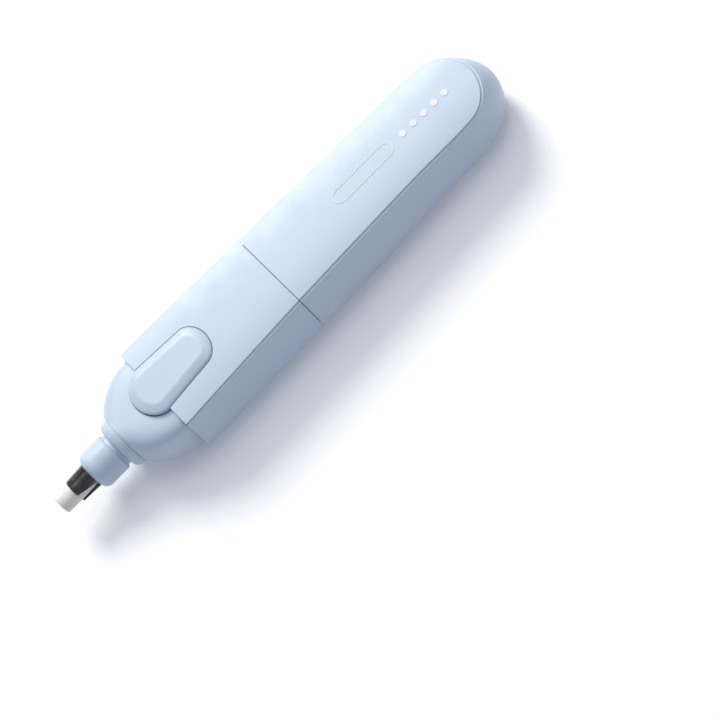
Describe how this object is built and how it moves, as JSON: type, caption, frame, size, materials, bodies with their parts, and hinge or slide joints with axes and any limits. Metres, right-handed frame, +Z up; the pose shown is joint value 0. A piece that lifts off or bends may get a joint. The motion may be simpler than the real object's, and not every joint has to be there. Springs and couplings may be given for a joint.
{
  "type": "electric eraser",
  "caption": "Battery-powered pen-shaped eraser: tapered shell, press button, spinning split collet with a rod refill, pull-off tail cap over the cells.",
  "frame": {"origin": "centre of the bounding box in plan, at the underside the eraser lies on", "axes": "+X from the eraser tip to the tail cap, +Z up on the button side, +Y completes a right-handed frame"},
  "size_m": [0.14, 0.0274, 0.0184],
  "materials": {
    "shell_blue": "fine satin moulded",
    "eraser": "matt vinyl",
    "nickel": "bright nickel",
    "steel": "turned",
    "zinc": "zinc plated",
    "bronze": "sintered",
    "copper": "enamelled wire and strip",
    "ferrite": "matt",
    "white_plastic": "moulded",
    "black_plastic": "moulded",
    "cell_jacket": "printed film",
    "red_pvc": "cable insulation",
    "yellow_pvc": "cable insulation",
    "black_pvc": "cable insulation"
  },
  "bodies": {
    "housing": {"front_barrel": "shell_blue", "nose_cone": "shell_blue", "spindle_bushing": "bronze", "motor_can": "zinc", "motor_end_bell": "white_plastic", "motor_magnets": "ferrite", "motor_bushings": "bronze", "motor_brushes": "copper", "motor_terminals": "copper", "chassis": "white_plastic", "switch_bridge": "white_plastic", "switch_fixed_contact": "nickel", "battery_cell_cans": "zinc", "battery_cell_jackets": "cell_jacket", "contact_plate_plus": "nickel", "contact_plate_minus": "nickel", "contact_spring_minus": "nickel", "contact_plate_rear": "nickel", "contact_spring_rear": "nickel", "frame_screws": "steel", "lead_red": "red_pvc", "lead_yellow": "yellow_pvc", "lead_black": "black_pvc"},
    "spindle": {"tip_sleeve": "shell_blue", "collet_chuck": "nickel", "spindle_tube": "steel", "shaft_coupling": "black_plastic", "motor_shaft": "steel", "armature_core": "steel", "armature_windings": "copper", "commutator": "copper"},
    "refill": {"eraser_refill": "eraser"},
    "button": {"power_button": "shell_blue"},
    "leaf": {"switch_leaf": "nickel"},
    "tail_cap": {"rear_cap": "shell_blue"}
  },
  "joints": [
    {"name": "spindle_spin", "type": "hinge", "parent": "housing", "child": "spindle", "pos_m": [0, 0, 0.00915], "axis": [-1, 0, 0], "continuous": true},
    {"name": "eraser_feed", "type": "slide", "parent": "spindle", "child": "refill", "axis": [-1, 0, 0], "range_m": [-0.004, 0.022]},
    {"name": "button_press", "type": "slide", "parent": "housing", "child": "button", "axis": [0, 0, -1], "range_m": [0, 0.0008], "stiffness_N_per_m": 800, "springref_m": -0.0006},
    {"name": "leaf_bend", "type": "hinge", "parent": "housing", "child": "leaf", "pos_m": [-0.0334, 0, 0.0151], "axis": [0, 1, 0], "range_deg": [0, 7.4]},
    {"name": "tail_cap_pull", "type": "slide", "parent": "housing", "child": "tail_cap", "axis": [1, 0, 0], "range_m": [0, 0.06]}
  ],
  "couplings": [
    {"joint": "leaf_bend", "follows": "button_press", "rad_per_m": 157}
  ]
}
